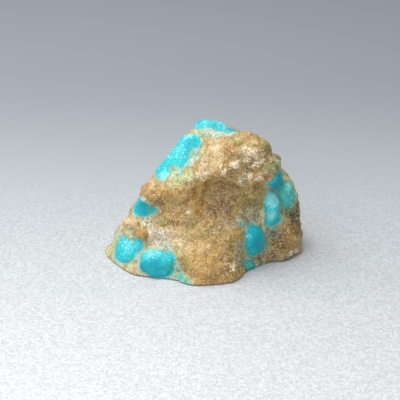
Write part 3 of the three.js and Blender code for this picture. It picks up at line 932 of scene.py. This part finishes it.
def covered(points, patches):
    """How far each point is covered by these patches, from 0 to 1."""
    return np.max(
        [patch.strength * (1 - smooth_step(patch.spread(points), 0.35, 1.65)) for patch in patches],
        axis=0,
    )


def wave(points, size):
    """Noise from -1 to 1 whose lumps are about this size."""
    return np.array([noise.noise(Vector(p)) for p in points / size])


def lumps(points, size):
    """Rounded lumps with creases between them, of about this size."""
    return np.abs(wave(points, size)) * 2.0 - 0.5


def crystals(points, size):
    """The height of tilted crystal faces of about this size."""
    heights = []
    for p in points / size:
        at = Vector(p)
        middle = noise.voronoi(at)[1][0]
        heights.append((at - middle).dot(noise.noise_vector(middle * 7.3)))
    return np.array(heights) * size


def sculpt(points, normals, shape):
    """The points with the nodules' rims, the lumps, the grain and the crust, and the places
    on which the colours are painted."""
    wandering = wander(wander(points, 1.9, 0.3), 0.8, 0.12)
    depth = turquoise_depth(wandering)
    on_rock = smooth_step(-depth, -0.05, 0.25)
    crust = covered(wandering, TINTED["white"])
    lift = np.zeros(len(points))
    for patch, rim in RAISED.values():
        spread = patch.spread(wandering, SQUARENESS)
        lift += rim * (1 - smooth_step(spread, 0.84, 1.02))
        lift -= shape.groove_depth * np.exp(-(((spread - 1.08) * patch.small / 0.16) ** 2))
    for patch, height in FORMS:
        lift += height * (1 - smooth_step(patch.spread(wandering), 0.3, 1.3))
    lift += shape.lump_height * lumps(points, LUMP_SIZE) * (0.15 + 0.85 * on_rock)
    lift += shape.lump_height * 0.4 * lumps(points + 40, SMALL_LUMP_SIZE) * (0.2 + 0.8 * on_rock)
    lift += shape.grain_height * wave(points, GRAIN_SIZE) * (0.3 + 0.7 * on_rock)
    lift += shape.grain_height * crystals(points, CRYSTAL_SIZE) * 1.5 * on_rock
    lift += shape.crust_height * crystals(points, CRUST_SIZE) * 2.4 * crust * on_rock
    stands = smooth_step(points[:, 2], 0.0, FREE_OF_BASE)
    outward = normals * (1, 1, 0) * (1 - smooth_step(points[:, 2], 0.0, FREE_OF_FLARE))[:, None]
    moved = points + normals * (lift * stands)[:, None] + outward * shape.flare
    moved[:, 2] = np.maximum(moved[:, 2], 0.0)
    return round_the_rim(moved, shape), wandering


def round_the_rim(points, shape):
    """The points after the underside's rim is lifted a little off the floor."""
    low = points[:, 2] < 0.02
    walls = np.flatnonzero((points[:, 2] > 0.1) & (points[:, 2] < 0.35))
    tree = KDTree(len(walls))
    for index in walls:
        tree.insert((points[index, 0], points[index, 1], 0), index)
    tree.balance()
    to_wall = np.zeros(len(points))
    for index in np.flatnonzero(low):
        to_wall[index] = tree.find(points[index])[2]
    near = 1 - smooth_step(to_wall, 0.0, shape.rim_width)
    height = np.where(low, near, 1 - smooth_step(points[:, 2], 0.0, 2.5 * shape.rim_lift))
    points[:, 2] += shape.rim_lift * height
    return points


def paint(mesh, points):
    """Keeps on the mesh where each colour lies."""
    fields = {"turquoise": np.clip(turquoise_depth(points), -2, 2)}
    fields.update({name: covered(points, patches) for name, patches in TINTED.items()})
    fields["teal"] = covered(points, TEAL)
    fields["deep"] = covered(points, DEEP)
    fields["pale"] = covered(points, PALE)
    for name, values in fields.items():
        layer = mesh.attributes.new(name, "FLOAT", "POINT")
        layer.data.foreach_set("value", values.astype(np.float32))


# The stone's finish


def stone_material(colours):
    nodes = Nodes("turquoise and host rock")
    place = nodes.millimetres()

    # Noise, from broad stains down to single grains.
    broad = nodes.clouds(place, 0.5, 3.0) - 0.5
    mottle = nodes.clouds(place, 1.7, 4.0, 0.6) - 0.5
    fine = nodes.clouds(place, 5.5, 3.0, 0.65) - 0.5
    sand = nodes.grains(place, 5.2)
    sand_chance = nodes.chance(sand)
    dust = nodes.grains(place, 8.0)
    dust_chance = nodes.chance(dust)
    frost = nodes.clouds(place, 3.1, 5.0, 0.7) - 0.5
    glitter = nodes.clouds(place, 7.5, 3.0, 0.75) - 0.5
    grit = nodes.grains(place, 2.7)
    grit_chance = nodes.chance(grit)

    # The rock: tan and golden, then each tint with a ragged edge.
    rock = nodes.mix(nodes.step(broad + mottle * 0.6, -0.15, 0.2) * 0.7, colours.rock, colours.golden)
    ragged = mottle * 0.8 + fine * 0.5
    for name in TINTED:
        if name == "white":
            continue
        mask = nodes.step(nodes.attribute(name) + ragged, 0.12, 0.88)
        rock = nodes.mix(mask, rock, getattr(colours, name))

    # Light and dark grains, calmer on the golden rock.
    pepper = nodes.attribute("grey") * 0.4 + 0.55
    sparkle = (sand_chance - 0.5) * pepper + (dust_chance - 0.5) * 0.55
    sparkle = sparkle + (grit_chance - 0.5) * 0.2 + fine * 1.2
    sparkle = sparkle * (1.0 - nodes.attribute("amber") * 0.5)
    sparkle = sparkle * (1.0 - nodes.attribute("golden") * 0.25)
    rock = nodes.mix(nodes.step(sparkle, 0.05, -0.6) * 0.5, rock, colours.amber, "MULTIPLY")
    rock = nodes.mix(nodes.step(sparkle, 0.0, 0.7) * 0.4, rock, colours.peach)
    rock = nodes.mix(1.0, rock, 1.0 + sparkle * 0.3 + mottle * 0.4, "MULTIPLY")

    # Stained grains, clear grains and the quartz crust.
    stained = nodes.step(grit_chance + mottle * 0.9, 0.25, 0.0)
    rock = nodes.mix(stained * 0.25, rock, colours.brown)
    clear = nodes.step(dust_chance * 0.6 + sand_chance * 0.4 + mottle * 0.5, 0.6, 0.9)
    rock = nodes.mix(clear * 0.45, rock, colours.peach)
    crystal = nodes.attribute("white") * 0.78 + (sand_chance - 0.5) * 0.7 + glitter * 1.7 + mottle * 0.4
    quartz = nodes.step(crystal, 0.3, 0.7)
    milk = nodes.mix(nodes.step(dust_chance, 0.1, 0.7), colours.peach, colours.white)
    rock = nodes.mix(quartz * 0.95, rock, milk)

    # Painted shade in tiny pits, and painted glints: highlights put into the rock's colour.
    painted_pit_shade = nodes.step(glitter + frost * 0.4, -0.08, -0.22)
    rock = nodes.mix(1.0, rock, 1.0 - painted_pit_shade * 0.4, "MULTIPLY")
    painted_glint = nodes.step(glitter + frost * 0.4, 0.09, 0.2)
    rock = nodes.mix(painted_glint * 0.85, rock, colours.painted_glint)

    # The pale edge where the rock meets the turquoise.
    depth = nodes.attribute("turquoise")
    edge = mottle * 0.8 + fine * 0.6 + (sand_chance - 0.5) * 0.15
    halo = nodes.step(depth + edge * 1.6, -0.8, 0.05)
    # The halo gives way to the mint and to the painted shade.
    halo = halo * (1 - nodes.attribute("mint") * 0.7) * (1 - nodes.attribute("painted_shade") * 0.8)
    rock = nodes.mix(halo * 0.72, rock, colours.halo)

    # The turquoise, with paler streaks and white specks.
    deep = nodes.attribute("deep")
    streak = nodes.step(frost + fine * 0.5 + nodes.attribute("pale") * 0.3 - deep * 0.15, 0.0, 0.24)
    blue = nodes.mix(deep * 0.85, colours.turquoise, colours.deep_turquoise)
    greener = nodes.step(nodes.attribute("teal") + ragged, 0.05, 0.95)
    blue = nodes.mix(greener * 0.75, blue, colours.teal)
    blue = nodes.mix(streak * 0.8, blue, colours.pale_turquoise)
    blue = nodes.mix(1.0, blue, 1.0 + fine * 0.9 + mottle * 0.4 + (sand_chance - 0.5) * 0.2, "MULTIPLY")
    speck = nodes.step(glitter * 0.8 + frost, 0.22, 0.4)
    blue = nodes.mix(speck * 0.7, blue, colours.white)
    mask = nodes.step(depth + edge, -0.2, 0.04)
    surface = nodes.mix(mask, rock, blue)

    # The finest relief and the shine.
    grit_height = nodes.facets(place, sand) * 0.3 + nodes.facets(place, grit) * 0.28
    rock_height = grit_height + fine * 0.06 + mottle * 0.06
    blue_height = fine * 0.035 + mottle * 0.06 + nodes.facets(place, sand) * 0.05
    height = rock_height * (1 - mask) + blue_height * mask
    normal = nodes.add("ShaderNodeBump", None, {"Strength": 1.0, "Distance": MM, "Height": height})
    roughness = (0.6 - quartz * 0.2 - painted_glint * 0.2) * (1 - mask) + (0.5 + fine * 0.3) * mask
    shader = nodes.add(
        "ShaderNodeBsdfPrincipled",
        None,
        {
            "Base Color": surface,
            "Roughness": roughness,
            "Normal": normal,
            "Subsurface Weight": 0.12,
            "Subsurface Radius": (1.0, 0.8, 0.6),
            "Subsurface Scale": 0.5 * MM,
            "Specular IOR Level": 0.3,
        },
    )
    return nodes.finish(shader)


# The lines between which the paper darkens towards the back, as painted shade of the light's falloff,
# loses its grain, and darkens towards the right, as the stone's painted shadow, in millimetres.
PAINTED_FALLOFF = (-64.0, 82.0)
GRAIN_FADE = (4.0, 40.0)
PAINTED_SHADOW = (-12.0, 24.0)


def floor_material(stage):
    nodes = Nodes("studio paper")
    place = nodes.millimetres()
    across = nodes.add("ShaderNodeSeparateXYZ", None, {0: place})
    behind = nodes.step(across.other("Y"), *PAINTED_FALLOFF)
    paper = nodes.mix(behind, stage.paper, stage.shade)
    fleck = nodes.chance(nodes.grains(place, 3.0)) - 0.5
    fibre = nodes.clouds(place, 3.4, 3.0, 0.7) - 0.5 + fleck * 0.25
    near = 1 - nodes.step(across.other("Y"), *GRAIN_FADE)
    # The stone's painted shadow: near the front the paper darkens towards the right.
    right = nodes.step(across.other("X"), *PAINTED_SHADOW)
    paper = nodes.mix(right * near * 0.12, paper, stage.shade)
    paper = nodes.mix(1.0, paper, 1.0 + fibre * near * 0.9, "MULTIPLY")
    relief = {"Strength": 0.5, "Distance": MM, "Height": fibre * 0.05}
    normal = nodes.add("ShaderNodeBump", None, relief)
    shader = nodes.add(
        "ShaderNodeBsdfPrincipled", None, {"Base Color": paper, "Roughness": 0.8, "Normal": normal}
    )
    return nodes.finish(shader)


# The operators


# Each light's direction, its distance and its width, in millimetres.
KEY_LIGHT = (towards(-90, 68), 220, 260)
FILL_LIGHT = (towards(-20, 24), 260, 160)
# The colour of the light from all round.
ROOM_COLOUR = (0.93, 0.97, 1.0, 1.0)
# The camera's sensor, and how near and how far it sees, in millimetres.
SENSOR_WIDTH = 36
NEAREST = 1
FARTHEST = 10000
# How far the floor reaches to each side, in millimetres.
FLOOR_REACH = 900


class SPECIMEN_OT_stone(bpy.types.Operator):
    """Makes the stone from the model's solid"""

    bl_idname = "specimen.stone"
    bl_label = "Make the stone"

    def execute(self, context):
        shape = context.scene.specimen_shape
        noise.seed_set(NOISE_SEED)
        fine = fine_mesh(shape)
        points, wandering = sculpt(read_points(fine), read_normals(fine), shape)
        fine.vertices.foreach_set("co", (points * MM).astype(np.float32).ravel())
        paint(fine, wandering)
        fine.polygons.foreach_set("use_smooth", np.ones(len(fine.polygons), bool))
        fine.update()
        fine.materials.clear()
        fine.materials.append(stone_material(context.scene.specimen_colours))
        stone = bpy.data.objects.new("rough_turquoise", fine)
        context.scene.collection.objects.link(stone)
        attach(stone, BODY)
        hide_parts(SOLID)
        return {"FINISHED"}


class SPECIMEN_OT_stage(bpy.types.Operator):
    """Makes the floor, the lights and the camera"""

    bl_idname = "specimen.stage"
    bl_label = "Make the stage"

    def execute(self, context):
        stage = context.scene.specimen_stage
        scene = context.scene
        aim = np.array((0, 0, stage.aim_height)) * MM
        camera_data = bpy.data.cameras.new("camera")
        camera_data.lens = stage.lens
        camera_data.sensor_width = SENSOR_WIDTH
        camera_data.clip_start = NEAREST * MM
        camera_data.clip_end = FARTHEST * MM
        camera = bpy.data.objects.new("camera", camera_data)
        scene.collection.objects.link(camera)
        back = towards(0, np.degrees(stage.camera_height))
        place(camera, aim + back * stage.camera_distance * MM, back)
        scene.camera = camera

        add_light(scene, "key", aim, *KEY_LIGHT, stage.key_power)
        add_light(scene, "fill", aim, *FILL_LIGHT, stage.fill_power)

        paper = bmesh.new()
        bmesh.ops.create_grid(paper, x_segments=1, y_segments=1, size=FLOOR_REACH * MM)
        floor_mesh = bpy.data.meshes.new("floor")
        paper.to_mesh(floor_mesh)
        paper.free()
        floor = bpy.data.objects.new("floor", floor_mesh)
        scene.collection.objects.link(floor)
        floor_mesh.materials.append(floor_material(stage))

        world = bpy.data.worlds.new("studio")
        world.use_nodes = True
        background = world.node_tree.nodes["Background"]
        background.inputs["Color"].default_value = ROOM_COLOUR
        background.inputs["Strength"].default_value = stage.room_light
        scene.world = world
        scene.view_settings.view_transform = "Standard"
        scene.view_settings.look = "None"
        return {"FINISHED"}


def place(thing, spot, back):
    """Puts a camera or a light at a spot, with its back turned this way."""
    thing.rotation_mode = "QUATERNION"
    thing.location = spot
    thing.rotation_quaternion = (-Vector(back)).to_track_quat("-Z", "Y")


def add_light(scene, name, aim, direction, distance, size, power):
    """A square soft light that looks at the stone from this direction."""
    data = bpy.data.lights.new(name, "AREA")
    data.size = size * MM
    data.energy = power
    light = bpy.data.objects.new(name, data)
    scene.collection.objects.link(light)
    place(light, aim + direction * distance * MM, direction)


class SPECIMEN_PT_panel(bpy.types.Panel):
    """The stone's and the stage's values, and the buttons that make them"""

    bl_idname = "SPECIMEN_PT_panel"
    bl_label = "Rough turquoise"
    bl_space_type = "VIEW_3D"
    bl_region_type = "UI"
    bl_category = "Specimen"

    def draw(self, context):
        scene = context.scene
        for title, group, button in (
            ("Shape", scene.specimen_shape, None),
            ("Colours", scene.specimen_colours, SPECIMEN_OT_stone.bl_idname),
            ("Stage", scene.specimen_stage, SPECIMEN_OT_stage.bl_idname),
        ):
            box = self.layout.box()
            box.label(text=title)
            for name in group.__annotations__:
                box.prop(group, name)
            if button:
                box.operator(button)


CLASSES = (
    StoneShape,
    StoneColours,
    StageSettings,
    SPECIMEN_OT_stone,
    SPECIMEN_OT_stage,
    SPECIMEN_PT_panel,
)


def register():
    for kind in CLASSES:
        bpy.utils.register_class(kind)
    bpy.types.Scene.specimen_shape = bpy.props.PointerProperty(type=StoneShape)
    bpy.types.Scene.specimen_colours = bpy.props.PointerProperty(type=StoneColours)
    bpy.types.Scene.specimen_stage = bpy.props.PointerProperty(type=StageSettings)


def unregister():
    del bpy.types.Scene.specimen_stage
    del bpy.types.Scene.specimen_colours
    del bpy.types.Scene.specimen_shape
    for kind in reversed(CLASSES):
        bpy.utils.unregister_class(kind)


def main():
    register()
    bpy.ops.specimen.stone()
    bpy.ops.specimen.stage()


if __name__ == "__main__":
    main()
